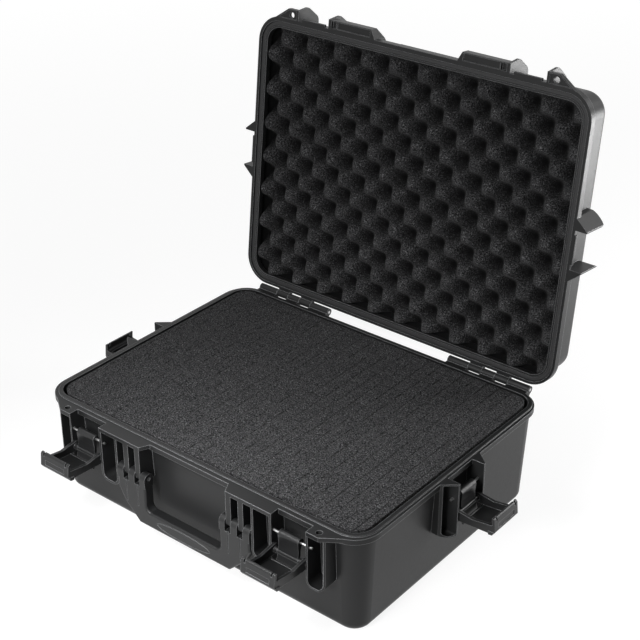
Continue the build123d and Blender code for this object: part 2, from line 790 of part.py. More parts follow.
def claw_bar():
    """Cross bar with the hook's lip along its far edge and a wider flange below."""
    far = claw_length
    back = claw_length - claw_bar_back
    hook = hook_inside
    toe = far - claw_toe_back
    section = [(back, -claw_bar_bottom), (toe, -claw_bar_bottom), (far, claw_toe_up - claw_bar_bottom),
               (far, claw_hook_lip), (hook, claw_hook_lip), (hook, claw_bar_top + claw_step),
               (hook - claw_step, claw_bar_top), (back, claw_bar_top)]
    bar = side_prism(section, -claw_half_width, claw_half_width, claw_rounding,
                     lambda v: -v.Y > far - same_level)
    flange = [(back, -claw_bar_bottom), (toe, -claw_bar_bottom),
              (far - claw_step, -claw_ear_top), (back, -claw_ear_top)]
    bar += side_prism(flange, -claw_ear_half, claw_ear_half)
    for hand in (-1, 1):
        centre = hand * (claw_half_width - claw_notch_inset)
        notch = Box(claw_notch_width, 3 * claw_hook_thickness, 2 * claw_notch_depth)
        bar -= Pos(centre, -claw_length, claw_hook_lip) * notch
    recess_half = claw_half_width - claw_recess_margin - claw_notch_inset
    recess = Box(2 * recess_half, 2 * claw_recess_depth, 2 * claw_recess_half_height)
    return bar - Pos(0, -claw_length, 0) * recess


def claw_floor(half):
    """Thin web under the frame, from the stop bar out to the cross bar."""
    back = claw_length - claw_bar_back + joining_overlap
    near_top = -claw_stop_drop + claw_floor_thickness / 2
    far_top = -claw_bar_bottom + claw_step + claw_floor_thickness
    points = [(claw_stop_out, near_top), (back, far_top), (back, far_top - claw_floor_thickness),
              (claw_stop_out, near_top - claw_floor_thickness)]
    return side_prism(points, -half, half)


def claw():
    """Frame that straddles the lever plate, about its own pin and level."""
    arm_inner = claw_half_width - claw_arm_thickness
    body = claw_bar()
    for hand in (-1, 1):
        left, right = sorted((hand * arm_inner, hand * claw_half_width))
        body += claw_arm(left, right)
        left, right = sorted((hand * (lever_half_width + claw_hub_gap), hand * claw_half_width))
        body += rod(claw_hub_radius, left, right, 0, 0)
    stop_end = arm_inner + joining_overlap
    body += rod(claw_stop_radius, -stop_end, stop_end, claw_stop_out, -claw_stop_drop)
    body += claw_floor(stop_end)
    body -= rod(claw_pin_radius + pin_clearance, -claw_half_width, claw_half_width, 0, 0)
    tilt = Location((0, -claw_pin_reach, claw_pin_up), (-claw_rest_tilt, 0, 0))
    return tilt * body


def lever_pin():
    end = bay_half + pin_seat_depth - pin_clearance
    return rod(lever_pin_radius, -end, end, lever_pin_reach, -lever_pin_drop)


def claw_pin():
    return rod(claw_pin_radius, -claw_half_width, claw_half_width, claw_pin_reach, claw_pin_up)


def foam_block(inset, bottom, top):
    """Plain block with the opening's outline, drawn in all round."""
    half_width = opening_width / 2 - inset
    return slab(opening_length - 2 * inset, half_width, -half_width, opening_corner - inset, bottom, top)


def lower_foam_inset(bottom):
    """Room at the sides of a low foam layer, where the drafted wall has come in."""
    return foam_wall_gap + (base_height - bottom) * math.tan(math.radians(draft))


def base_foam_layers():
    floor = floor_thickness + foam_floor_gap
    pad_top = floor + foam_pad_thickness
    top = base_height + base_foam_proud
    middle = (pad_top + top) / 2
    pad = foam_block(lower_foam_inset(floor), floor, pad_top)
    lower = pad_top + foam_layer_gap
    return {
        "foam_base_pad": fillet(end_edges(pad, False), foam_edge_rounding),
        "foam_lower_layer": foam_block(lower_foam_inset(lower), lower, middle),
        "foam_upper_layer": foam_block(base_foam_side_gap, middle + foam_layer_gap, top),
    }


def all_nodes():
    nodes = {
        "base_shell": base_shell(),
        "lid_shell": opened(lid_closed()),
        "lid_gasket": opened(gasket_closed()),
        "lid_foam": opened(lid_foam_closed()),
        "name_plate": opened(name_plate_closed()),
        "carry_handle": handle(),
        "handle_pin_left": handle_pin(-1),
        "handle_pin_right": handle_pin(1),
        "hinge_pin_left": hinge_pin(-1),
        "hinge_pin_right": hinge_pin(1),
    }
    nodes.update(base_foam_layers())
    for name, place in latch_places.items():
        nodes["latch_lever_" + name] = place * lever_plate()
        nodes["latch_claw_" + name] = place * claw()
        nodes["lever_pin_" + name] = place * lever_pin()
        nodes["claw_pin_" + name] = place * claw_pin()
    return nodes


os.makedirs("parts", exist_ok=True)
for node, shape in all_nodes().items():
    export_step(shape, "parts/" + node + ".step")
    print(node, len(shape.solids()), round(shape.volume))
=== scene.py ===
"""Looks of the flight case: the finish of every moulded and metal piece, both halves' foam, and the stage."""

import math
import random

import bmesh
import bpy
from bpy.props import FloatProperty, FloatVectorProperty, IntProperty, PointerProperty
from mathutils import Matrix, Vector


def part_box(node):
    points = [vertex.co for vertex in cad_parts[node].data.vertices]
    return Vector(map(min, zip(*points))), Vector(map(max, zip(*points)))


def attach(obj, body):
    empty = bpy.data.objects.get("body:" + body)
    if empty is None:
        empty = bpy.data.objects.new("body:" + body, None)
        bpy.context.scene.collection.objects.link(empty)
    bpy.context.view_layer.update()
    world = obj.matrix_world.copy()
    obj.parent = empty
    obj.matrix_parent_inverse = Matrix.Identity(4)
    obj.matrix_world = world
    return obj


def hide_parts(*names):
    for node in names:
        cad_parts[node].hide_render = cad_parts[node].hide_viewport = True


bl_info = {
    "name": "Flight Case Finishes",
    "version": (1, 0, 0),
    "blender": (4, 5, 0),
    "location": "View3D > Sidebar > Flight Case",
    "description": "Finishes, foam and stage for a hard case with a hinged lid",
    "category": "Object",
}

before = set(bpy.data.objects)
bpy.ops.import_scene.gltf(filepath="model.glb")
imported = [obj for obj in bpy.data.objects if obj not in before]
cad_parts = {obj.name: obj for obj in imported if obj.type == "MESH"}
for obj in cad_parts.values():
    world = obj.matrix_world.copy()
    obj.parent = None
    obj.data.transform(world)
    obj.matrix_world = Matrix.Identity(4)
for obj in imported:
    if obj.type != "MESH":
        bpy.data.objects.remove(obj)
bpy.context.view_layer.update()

LATCHES = ("front_left", "front_right", "left", "right")
HINGE = Vector((0.0, 0.205, 0.1466))
LID_OPEN = math.radians(-96.2)

# Lid foam, drawn with the lid closed: half its outline, its corners, the heights of its tips and its back,
# the place of one bump, the power that blunts the bumps (1 leaves a plain wave) and the cells of its grid
LID_FOAM_HALF_X, LID_FOAM_HALF_Y = 0.2482, 0.1831
LID_FOAM_CORNER = 0.022
LID_FOAM_TIP, LID_FOAM_BACK = 0.1500, 0.2019
FIRST_BUMP_X, FIRST_BUMP_Y = -0.013, 0.006
BUMP_BLUNTNESS = 0.72
LID_FOAM_CELLS = (204, 150)

# Base foam: room to the CAD solid's faces and sides, corners, and how far the walls draw in
FOAM_FACE_ROOM = 0.0002
PICK_FOAM_SIDE_ROOM = 0.0003
PICK_FOAM_CORNER = 0.0218
PICK_FOAM_TAPER = 0.0025
DEEP_FOAM_SIDE_ROOM = 0.0006
DEEP_FOAM_CORNER = 0.021
DEEP_FOAM_CELLS = (60, 44)
DEEP_FOAM_EDGE_DROP = 0.0012
DEEP_FOAM_EDGE_REACH = 0.008

# Diced cuts: a cut's place along each side, how near the edge none is made, how far cubes' tops sag, how
# far lip and shoulder lie from the cut, and how deep it is at the lip and at the outer edge, as a share
FIRST_CUT_X, FIRST_CUT_Y = 0.01625, 0.00225
UNCUT_EDGE = 0.004
CUBE_SAG = 0.0005
CUT_LIP = 0.0006
CUT_SHOULDER = 2.2
LIP_GAPE = 0.12
EDGE_GAPE = 0.25


# Settings


class CasePlasticSettings(bpy.types.PropertyGroup):
    """Colours and surface of the moulded plastics."""

    shell_colour: FloatVectorProperty(
        name="Shell Colour",
        description="Colour of the base and the lid",
        default=(0.012, 0.0122, 0.0125),
        size=3,
        min=0.0,
        max=1.0,
        subtype="COLOR",
    )
    fitting_colour: FloatVectorProperty(
        name="Fitting Colour",
        description="Colour of the handle and the latches",
        default=(0.011, 0.0112, 0.0115),
        size=3,
        min=0.0,
        max=1.0,
        subtype="COLOR",
    )
    plate_colour: FloatVectorProperty(
        name="Plate Colour",
        description="Colour of the bare plate on the lid",
        default=(0.03, 0.03, 0.031),
        size=3,
        min=0.0,
        max=1.0,
        subtype="COLOR",
    )
    edge_radius: FloatProperty(
        name="Edge Radius",
        description="How far light rolls round a moulded edge",
        default=0.0012,
        min=0.0,
        max=0.005,
        unit="LENGTH",
        precision=4,
    )
    grain_size: FloatProperty(
        name="Grain Size",
        description="Size of the moulded grain",
        default=0.0007,
        min=0.0001,
        max=0.01,
        unit="LENGTH",
        precision=4,
    )


class CaseTrimSettings(bpy.types.PropertyGroup):
    """Colours of the gasket and the pins."""

    gasket_colour: FloatVectorProperty(
        name="Gasket Colour",
        description="Colour of the lid's gasket",
        default=(0.012, 0.012, 0.0125),
        size=3,
        min=0.0,
        max=1.0,
        subtype="COLOR",
    )
    steel_colour: FloatVectorProperty(
        name="Pin Colour",
        description="Colour of the steel pins",
        default=(0.6, 0.6, 0.6),
        size=3,
        min=0.0,
        max=1.0,
        subtype="COLOR",
    )


class CaseFoamSettings(bpy.types.PropertyGroup):
    """Sizes and colour of the foam."""

    colour: FloatVectorProperty(
        name="Foam Colour",
        description="Colour of the foam's cell walls",
        default=(0.036, 0.036, 0.0372),
        size=3,
        min=0.0,
        max=1.0,
        subtype="COLOR",
    )
    cell_size: FloatProperty(
        name="Cell Size",
        description="Size of the foam's open cells",
        default=0.0011,
        min=0.0003,
        max=0.01,
        unit="LENGTH",
        precision=4,
    )
    bump_pitch_along: FloatProperty(
        name="Bump Pitch Along",
        description="Distance between two bumps of one row of the lid's foam",
        default=0.0464,
        min=0.01,
        max=0.2,
        unit="LENGTH",
        precision=4,
    )
    bump_pitch_across: FloatProperty(
        name="Bump Pitch Across",
        description="Distance from a row of bumps to the next row but one",
        default=0.0498,
        min=0.01,
        max=0.2,
        unit="LENGTH",
        precision=4,
    )
    bump_height: FloatProperty(
        name="Bump Height",
        description="Height of a bump's tip over the bottom of a hollow",
        default=0.024,
        min=0.0,
        max=0.045,
        unit="LENGTH",
        precision=4,
    )
    dice_pitch: FloatProperty(
        name="Dice Pitch",
        description="Distance between the cuts of the pick-out foam",
        default=0.0184,
        min=0.005,
        max=0.1,
        unit="LENGTH",
        precision=4,
    )
    dice_cut_depth: FloatProperty(
        name="Dice Cut Depth",
        description="How far a cut of the pick-out foam gapes",
        default=0.0012,
        min=0.0,
        max=0.01,
        unit="LENGTH",
        precision=4,
    )
    seed: IntProperty(
        name="Seed",
        description="Start of the small differences between the foam's cubes",
        default=7,
        min=0,
    )


class CaseStageSettings(bpy.types.PropertyGroup):
    """Camera, lamps and floor."""

    floor_colour: FloatVectorProperty(
        name="Floor Colour",
        description="Colour of the floor and the backdrop",
        default=(0.8, 0.8, 0.8),
        size=3,
        min=0.0,
        max=1.0,
        subtype="COLOR",
    )
    camera_place: FloatVectorProperty(
        name="Camera Place",
        description="Where the camera stands",
        default=(1.01799, -1.2068, 1.13661),
        size=3,
        subtype="TRANSLATION",
        unit="LENGTH",
    )
    camera_turn: FloatProperty(
        name="Camera Turn",
        description="How far the camera is turned from straight behind the front",
        default=math.radians(38.912),
        subtype="ANGLE",
    )
    camera_dip: FloatProperty(
        name="Camera Dip",
        description="How far the camera looks down",
        default=math.radians(29.073),
        subtype="ANGLE",
    )
    lens: FloatProperty(
        name="Lens",
        description="Focal length on a 36 mm wide sensor",
        default=80.24,
        min=10.0,
        subtype="DISTANCE_CAMERA",
    )


# Nodes


def new_material(name):
    material = bpy.data.materials.new(name)
    material.use_nodes = True
    material.node_tree.nodes.clear()
    return material


def add_node(material, kind, label="", **values):
    """Adds a node; values are its inputs by name with _ for spaces, or its own settings."""
    node = material.node_tree.nodes.new(kind)
    node.label = label
    for key, value in values.items():
        socket = key.replace("_", " ")
        if socket in node.inputs:
            node.inputs[socket].default_value = value
        else:
            setattr(node, key, value)
    return node


def join(material, source, target):
    material.node_tree.links.new(source, target)


def math_node(material, operation, a, b=None, clamp=False):
    node = add_node(material, "ShaderNodeMath", operation=operation, use_clamp=clamp)
    for socket, value in zip(node.inputs, (a, b)):
        if value is None:
            continue
        if isinstance(value, (int, float)):
            socket.default_value = value
        else:
            join(material, value, socket)
    return node.outputs[0]


def noise(material, coords, size, detail=3.0, roughness=0.5, label=""):
    """Noise whose features are about size metres."""
    node = add_node(
        material,
        "ShaderNodeTexNoise",
        label,
        Scale=1.0 / size,
        Detail=detail,
        Roughness=roughness,
    )
    join(material, coords, node.inputs["Vector"])
    return node.outputs["Fac"]


def ramp(material, fac, low, high, low_colour=(0, 0, 0, 1), high_colour=(1, 1, 1, 1)):
    node = add_node(material, "ShaderNodeValToRGB")
    node.color_ramp.elements[0].position = low
    node.color_ramp.elements[1].position = high
    node.color_ramp.elements[0].color = low_colour
    node.color_ramp.elements[1].color = high_colour
    join(material, fac, node.inputs["Fac"])
    return node.outputs["Color"]


def spread(material, fac, low, high):
    """Maps 0..1 to low..high."""
    node = add_node(material, "ShaderNodeMapRange")
    node.inputs["To Min"].default_value = low
    node.inputs["To Max"].default_value = high
    join(material, fac, node.inputs["Value"])
    return node.outputs["Result"]


def tinted(colour, factor):
    return tuple(min(1.0, c * factor) for c in colour) + (1.0,)


def colour_mix(material, fac, first, second):
    node = add_node(material, "ShaderNodeMix", data_type="RGBA")
    for socket, value in ((node.inputs[0], fac), (node.inputs[6], first), (node.inputs[7], second)):
        if isinstance(value, (int, float, tuple)):
            socket.default_value = value
        else:
            join(material, value, socket)
    return node.outputs[2]


def object_coords(material):
    return add_node(material, "ShaderNodeTexCoord", "Place on the piece").outputs["Object"]


def rolled_edge(material, radius):
    """Normal that rolls over moulded edges, and a mask that is 1 where it does."""
    bevel = add_node(material, "ShaderNodeBevel", "Moulded edge", samples=6, Radius=radius)
    flat = add_node(material, "ShaderNodeNewGeometry", "Flat normal")
    dot = add_node(material, "ShaderNodeVectorMath", operation="DOT_PRODUCT")
    join(material, bevel.outputs["Normal"], dot.inputs[0])
    join(material, flat.outputs["Normal"], dot.inputs[1])
    mask = math_node(material, "SUBTRACT", 1.0, dot.outputs["Value"], clamp=True)
    mask = math_node(material, "MULTIPLY", mask, 6.0, clamp=True)
    return bevel.outputs["Normal"], mask


def bumped(material, height, strength, distance, normal=None):
    node = add_node(material, "ShaderNodeBump", Strength=strength, Distance=distance)
    join(material, height, node.inputs["Height"])
    if normal is not None:
        join(material, normal, node.inputs["Normal"])
    return node.outputs["Normal"]


def surface(material, **values):
    """The shader and its output."""
    shader = add_node(material, "ShaderNodeBsdfPrincipled", **values)
    output = add_node(material, "ShaderNodeOutputMaterial")
    join(material, shader.outputs[0], output.inputs["Surface"])
    return shader


def moulded_plastic(name, colour, settings, roughness=0.36, grain=0.35, edge_highlight_lift=24.0, shine=0.19):
    """Black plastic with a moulded grain, faint flow marks, and a painted highlight on its edges, painted up
    to the edge lift's factor paler and patchy like wear.
    """
    material = new_material(name)
    coords = object_coords(material)
    normal, edge = rolled_edge(material, settings.edge_radius)
    flow = noise(material, coords, 0.09, 4.0, 0.55, "Flow marks")
    scuffs = noise(material, coords, 0.006, 6.0, 0.7, "Scuffs")
    pits = noise(material, coords, settings.grain_size, 2.0, 0.6, "Moulded grain")
    base = colour_mix(material, flow, tinted(colour, 0.86), tinted(colour, 1.16))
    # Painted highlight: the edges are painted paler, broken up by the scuff noise, to stand in for the light
    # that moulded edges catch.
    painted_edge_highlight = math_node(material, "MULTIPLY", edge, spread(material, scuffs, 0.4, 1.0))
    base = colour_mix(material, painted_edge_highlight, base, tinted(colour, edge_highlight_lift))
    shader = surface(material, Specular_IOR_Level=shine)
    join(material, base, shader.inputs["Base Color"])
    rough = spread(material, scuffs, roughness - 0.06, roughness + 0.08)
    join(material, rough, shader.inputs["Roughness"])
    join(material, bumped(material, pits, grain, 0.00012, normal), shader.inputs["Normal"])
    return material


def gasket_rubber(settings):
    """Soft matt rubber with a patchy bloom."""
    material = new_material("gasket_rubber")
    coords = object_coords(material)
    bloom = noise(material, coords, 0.02, 4.0, 0.6, "Bloom")
    pits = noise(material, coords, 0.0004, 2.0, 0.5, "Pores")
    rubber = settings.gasket_colour
    base = colour_mix(material, bloom, tinted(rubber, 0.8), tinted(rubber, 1.6))
    shader = surface(material, Specular_IOR_Level=0.35)
    join(material, base, shader.inputs["Base Color"])
    join(material, spread(material, bloom, 0.55, 0.75), shader.inputs["Roughness"])
    join(material, bumped(material, pits, 0.4, 0.0001), shader.inputs["Normal"])
    return material


def drawn_steel(settings):
    """Steel wire with fine marks along it and a little tarnish."""
    material = new_material("pin_steel")
    coords = object_coords(material)
    stretch = add_node(material, "ShaderNodeMapping", "Drawing marks")
    stretch.inputs["Scale"].default_value = (1.0, 12.0, 12.0)
    join(material, coords, stretch.inputs["Vector"])
    marks = noise(material, stretch.outputs["Vector"], 0.004, 5.0, 0.6, "Marks")
    tarnish = noise(material, coords, 0.005, 3.0, 0.5, "Tarnish")
    steel = settings.steel_colour
    base = colour_mix(material, tarnish, tinted(steel, 1.0), tinted(steel, 0.72))
    shader = surface(material, Metallic=1.0)
    join(material, base, shader.inputs["Base Color"])
    join(material, spread(material, marks, 0.2, 0.38), shader.inputs["Roughness"])
    join(material, bumped(material, marks, 0.25, 0.00005), shader.inputs["Normal"])
    return material


def open_cell_foam(name, settings, sparkle=1.0, hollow=0.0):
    """Charcoal foam: open cells painted dark as painted shade, and cell walls painted as pale specks, a
    painted highlight where they catch the light.

    hollow sets how strongly shade is painted into the foam where the attribute depth says that it lies below
    the tips.
    """
    material = new_material(name)
    coords = object_coords(material)
    cells = add_node(material, "ShaderNodeTexVoronoi", "Cells", Scale=1.0 / settings.cell_size)
    join(material, coords, cells.inputs["Vector"])
    clumps = noise(material, coords, settings.cell_size * 1.5, 2.0, 0.8, "Clumps")
    drift = noise(material, coords, 0.05, 3.0, 0.5, "Drift")
    pores = spread(material, cells.outputs["Distance"], 0.0, 1.0)
    height = math_node(material, "ADD", math_node(material, "MULTIPLY", pores, 0.5), clumps)
    colour = settings.colour
    # Painted shade: the clumps' noise paints the open cells dark and the cell walls paler.
    base = ramp(material, clumps, 0.42, 0.62, tinted(colour, 0.10), tinted(colour, 2.0))
    # Painted highlight: pale specks where the cell walls catch the light.
    dots = noise(material, coords, settings.cell_size * 1.6, 1.0, 0.5, "Specks")
    speck_highlights = math_node(material, "MULTIPLY", ramp(material, dots, 0.60, 0.68), 0.8 * sparkle)
    base = colour_mix(material, speck_highlights, base, tinted(colour, 5.0))
    base = colour_mix(material, spread(material, drift, 0.0, 0.28), base, tinted(colour, 0.6))
    # Painted shade: the deeper the foam lies between the bumps, the darker it is painted, standing in for the
    # shade in the hollows.
    if hollow:
        depth = add_node(material, "ShaderNodeAttribute", "Depth in the mould", attribute_name="depth")
        shade = math_node(material, "POWER", depth.outputs["Fac"], 1.2)
        shade = math_node(material, "MULTIPLY", shade, hollow)
        base = colour_mix(material, shade, base, tinted(colour, 0.03))
    shader = surface(material, Specular_IOR_Level=0.05, Sheen_Weight=0.02, Sheen_Roughness=0.5)
    join(material, base, shader.inputs["Base Color"])
    join(material, spread(material, clumps, 0.8, 1.0), shader.inputs["Roughness"])
    join(material, bumped(material, height, 0.7, 0.0008), shader.inputs["Normal"])
    return material


# Meshes


def clear_selection():
    if bpy.context.object and bpy.context.object.mode != "OBJECT":
        bpy.ops.object.mode_set(mode="OBJECT")
    bpy.ops.object.select_all(action="DESELECT")


def take(piece):
    clear_selection()
    piece.select_set(True)
    bpy.context.view_layer.objects.active = piece


def settle(piece, material, body, replaced):
    """Finishes a foam piece: smooth shading, finish, and its place in the frame."""
    take(piece)
    bpy.ops.object.transform_apply(location=True, rotation=True, scale=True)
    bpy.ops.object.mode_set(mode="EDIT")
    bpy.ops.mesh.select_all(action="SELECT")
    bpy.ops.mesh.remove_doubles(threshold=0.00001)
    bpy.ops.mesh.normals_make_consistent(inside=False)
    bpy.ops.object.mode_set(mode="OBJECT")
    bpy.ops.object.shade_smooth_by_angle(angle=math.radians(40))
    piece.data.materials.clear()
    piece.data.materials.append(material)
    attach(piece, body)
    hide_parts(replaced)


def grid_places(count, half, radius):
    """Places of count+1 grid lines from -half to half, closer together in the corners' rounding."""
    places = []
    for i in range(count + 1):
        x = -half + 2 * half * i / count
        straight = half - radius
        if abs(x) > straight:
            turn = math.pi / 2 * (abs(x) - straight) / radius
            x = math.copysign(straight + radius * math.sin(turn), x)
        places.append(x)
    return places


def foam_sheet(name, columns, rows, half_x, half_y, radius, height):
    """Grid laid on the given lines inside a rounded rectangle; height(x, y) lifts each point. Z is up."""
    clear_selection()
    bpy.ops.mesh.primitive_grid_add(
        x_subdivisions=len(columns) - 1, y_subdivisions=len(rows) - 1, size=2.0, location=(0, 0, 0)
    )
    sheet = bpy.context.object
    sheet.name = name
    sheet.data.name = name
    for vertex in sheet.data.vertices:
        i = round((vertex.co.x + 1.0) / 2.0 * (len(columns) - 1))
        j = round((vertex.co.y + 1.0) / 2.0 * (len(rows) - 1))
        x = columns[i]
        over = abs(x) - (half_x - radius)
        limit = half_y
        if over > 0:
            limit = half_y - radius + math.sqrt(max(0.0, radius * radius - over * over))
        y = rows[j]
        if abs(y) > limit - radius:
            keep = limit - radius
            y = math.copysign(keep + (abs(y) - keep) * (limit - keep) / (half_y - keep), y)
        vertex.co = (x, y, height(x, y))
    return sheet


def give_depth(sheet, bottom, taper=0.0):
    """Carries a sheet's border down to bottom and closes it; taper draws the walls in on the way."""
    take(sheet)
    bpy.ops.object.mode_set(mode="EDIT")
    bpy.ops.mesh.select_mode(type="EDGE")
    bpy.ops.mesh.select_all(action="DESELECT")
    bpy.ops.mesh.select_non_manifold()
    bpy.ops.mesh.extrude_region_move(TRANSFORM_OT_translate={"value": (0, 0, -0.001)})
    mesh = bmesh.from_edit_mesh(sheet.data)
    for vertex in mesh.verts:
        if vertex.select:
            vertex.co.z = bottom
            length = Vector((vertex.co.x, vertex.co.y)).length
            vertex.co.x -= vertex.co.x / length * taper
            vertex.co.y -= vertex.co.y / length * taper
    bmesh.update_edit_mesh(sheet.data)
    bpy.ops.mesh.edge_face_add()
    bpy.ops.object.mode_set(mode="OBJECT")


# Pieces


class CASE_OT_shells(bpy.types.Operator):
    """Give the base, the lid and the bare plate their moulded finish"""

    bl_idname = "case.shells"
    bl_label = "Finish Shells"
    bl_options = {"REGISTER", "UNDO"}

    def execute(self, context):
        settings = context.scene.case_plastics
        shell = moulded_plastic("shell_plastic", settings.shell_colour, settings)
        plate = moulded_plastic(
            "plate_plastic", settings.plate_colour, settings, roughness=0.5, grain=0.2, edge_highlight_lift=1.4
        )
        for name in ("base_shell", "lid_shell"):
            finish(name, shell)
        finish("name_plate", plate)
        return {"FINISHED"}


class CASE_OT_fittings(bpy.types.Operator):
    """Give the handle and the latches their smoother plastic"""

    bl_idname = "case.fittings"
    bl_label = "Finish Fittings"
    bl_options = {"REGISTER", "UNDO"}

    def execute(self, context):
        settings = context.scene.case_plastics
        colour = settings.fitting_colour
        latch = moulded_plastic(
            "latch_plastic", colour, settings, roughness=0.30, grain=0.22, edge_highlight_lift=14.0, shine=0.32
        )
        grip = moulded_plastic(
            "handle_plastic", colour, settings, roughness=0.34, grain=0.25, edge_highlight_lift=14.0, shine=0.26
        )
        for place in LATCHES:
            finish("latch_lever_" + place, latch)
            finish("latch_claw_" + place, latch)
        finish("carry_handle", grip)
        return {"FINISHED"}


class CASE_OT_trim(bpy.types.Operator):
    """Give the gasket and every pin their finish"""

    bl_idname = "case.trim"
    bl_label = "Finish Gasket and Pins"
    bl_options = {"REGISTER", "UNDO"}

    def execute(self, context):
        settings = context.scene.case_trim
        finish("lid_gasket", gasket_rubber(settings))
        steel = drawn_steel(settings)
        for side in ("left", "right"):
            finish("handle_pin_" + side, steel)
            finish("hinge_pin_" + side, steel)
        for place in LATCHES:
            finish("lever_pin_" + place, steel)
            finish("claw_pin_" + place, steel)
        return {"FINISHED"}


def finish(name, material):
    """Puts a material in a CAD node's slots."""
    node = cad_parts[name]
    if node.data.materials:
        for index in range(len(node.data.materials)):
            node.data.materials[index] = material
    else:
        node.data.materials.append(material)


def mark_depth(foam, tip, rise):
    """Stores how far each point lies below the tips, from 0 at a tip to 1 in a hollow; the foam's painted
    shade is drawn from it.
    """
    depth = foam.data.attributes.new("depth", "FLOAT", "POINT")
    for vertex, entry in zip(foam.data.vertices, depth.data):
        entry.value = min(1.0, max(0.0, (tip - vertex.co.z) / rise))


class CASE_OT_lid_foam(bpy.types.Operator):
    """Model the lid's egg-crate foam"""

    bl_idname = "case.lid_foam"
    bl_label = "Lid Foam"
    bl_options = {"REGISTER", "UNDO"}

    def execute(self, context):
        settings = context.scene.case_foam
        half_x, half_y, radius = LID_FOAM_HALF_X, LID_FOAM_HALF_Y, LID_FOAM_CORNER
        tip, back = LID_FOAM_TIP, LID_FOAM_BACK
        wave_x = 2 * math.pi / settings.bump_pitch_along
        wave_y = 2 * math.pi / settings.bump_pitch_across
        rise = settings.bump_height

        def bump(x, y):
            crest = math.cos(wave_x * (x - FIRST_BUMP_X)) * math.cos(wave_y * (y - FIRST_BUMP_Y))
            crest = math.copysign(abs(crest) ** BUMP_BLUNTNESS, crest)
            return back - tip - rise * (0.5 - 0.5 * crest)

        columns = grid_places(LID_FOAM_CELLS[0], half_x, radius)
        rows = grid_places(LID_FOAM_CELLS[1], half_y, radius)
        foam = foam_sheet("lid_foam_eggcrate", columns, rows, half_x, half_y, radius, bump)
        give_depth(foam, 0.0)
        mark_depth(foam, back - tip, rise)
        foam.data.transform(Matrix.Diagonal((1, 1, -1, 1)))
        foam.data.transform(Matrix.Translation((0, 0, back)))
        turn = Matrix.Rotation(LID_OPEN, 4, Vector((-1, 0, 0)))
        foam.data.transform(Matrix.Translation(HINGE) @ turn.inverted() @ Matrix.Translation(-HINGE))
        # hollow=1.0 paints full shade into the hollows of the lid foam.
        material = open_cell_foam("lid_foam", settings, hollow=1.0)
        settle(foam, material, "lid", "lid_foam")
        return {"FINISHED"}


class CASE_OT_pick_foam(bpy.types.Operator):
    """Model the diced top layer of the base's foam"""

    bl_idname = "case.pick_foam"
    bl_label = "Pick-out Foam"
    bl_options = {"REGISTER", "UNDO"}

    def execute(self, context):
        settings = context.scene.case_foam
        low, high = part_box("foam_upper_layer")
        half_x, half_y = high.x - PICK_FOAM_SIDE_ROOM, high.y - PICK_FOAM_SIDE_ROOM
        pitch = settings.dice_pitch
        cut = settings.dice_cut_depth
        columns, column_cells = diced_lines(half_x, pitch, FIRST_CUT_X)
        rows, row_cells = diced_lines(half_y, pitch, FIRST_CUT_Y)
        chance = random.Random(settings.seed)
        lift = {}
        place_x = {round(x, 6): cell for x, cell in zip(columns, column_cells)}
        place_y = {round(y, 6): cell for y, cell in zip(rows, row_cells)}
        top = high.z - FOAM_FACE_ROOM

        def height(x, y):
            across = near(place_x, x)
            along = near(place_y, y)
            key = (across[0], along[0])
            if key not in lift:
                lift[key] = chance.uniform(-CUBE_SAG, 0.0)
            drop = max(across[1], along[1])
            return top + lift[key] - cut * drop

        foam = foam_sheet("foam_pick_layer", columns, rows, half_x, half_y, PICK_FOAM_CORNER, height)
        give_depth(foam, low.z + FOAM_FACE_ROOM, PICK_FOAM_TAPER)
        settle(foam, open_cell_foam("pick_foam", settings), "base", "foam_upper_layer")
        return {"FINISHED"}


def diced_lines(half, pitch, start):
    """Grid lines of a diced sheet, with (cell, gape) for each: the cuts, their lips and the lines between."""
    first = start - pitch * math.floor((start + half) / pitch)
    cuts = []
    place = first
    while place < half - UNCUT_EDGE:
        if place > UNCUT_EDGE - half:
            cuts.append(place)
        place += pitch
    edges = [-half] + cuts + [half]
    lines = []
    cells = []
    for cell, (a, b) in enumerate(zip(edges, edges[1:])):
        shoulder = CUT_SHOULDER * CUT_LIP
        steps = [
            (a + CUT_LIP, LIP_GAPE),
            (a + shoulder, 0.0),
            ((a + b) / 2, 0.0),
            (b - shoulder, 0.0),
            (b - CUT_LIP, LIP_GAPE),
        ]
        lines.append(a)
        cells.append((cell, 1.0 if cell else EDGE_GAPE))
        for place, gape in steps:
            lines.append(place)
            cells.append((cell, gape))
    lines.append(half)
    cells.append((len(edges) - 2, EDGE_GAPE))
    return lines, cells


def near(places, value):
    """The entry whose place is nearest, for a coordinate that the rounding of a corner has moved."""
    key = round(value, 6)
    if key in places:
        return places[key]
    return places[min(places, key=lambda p: abs(p - value))]


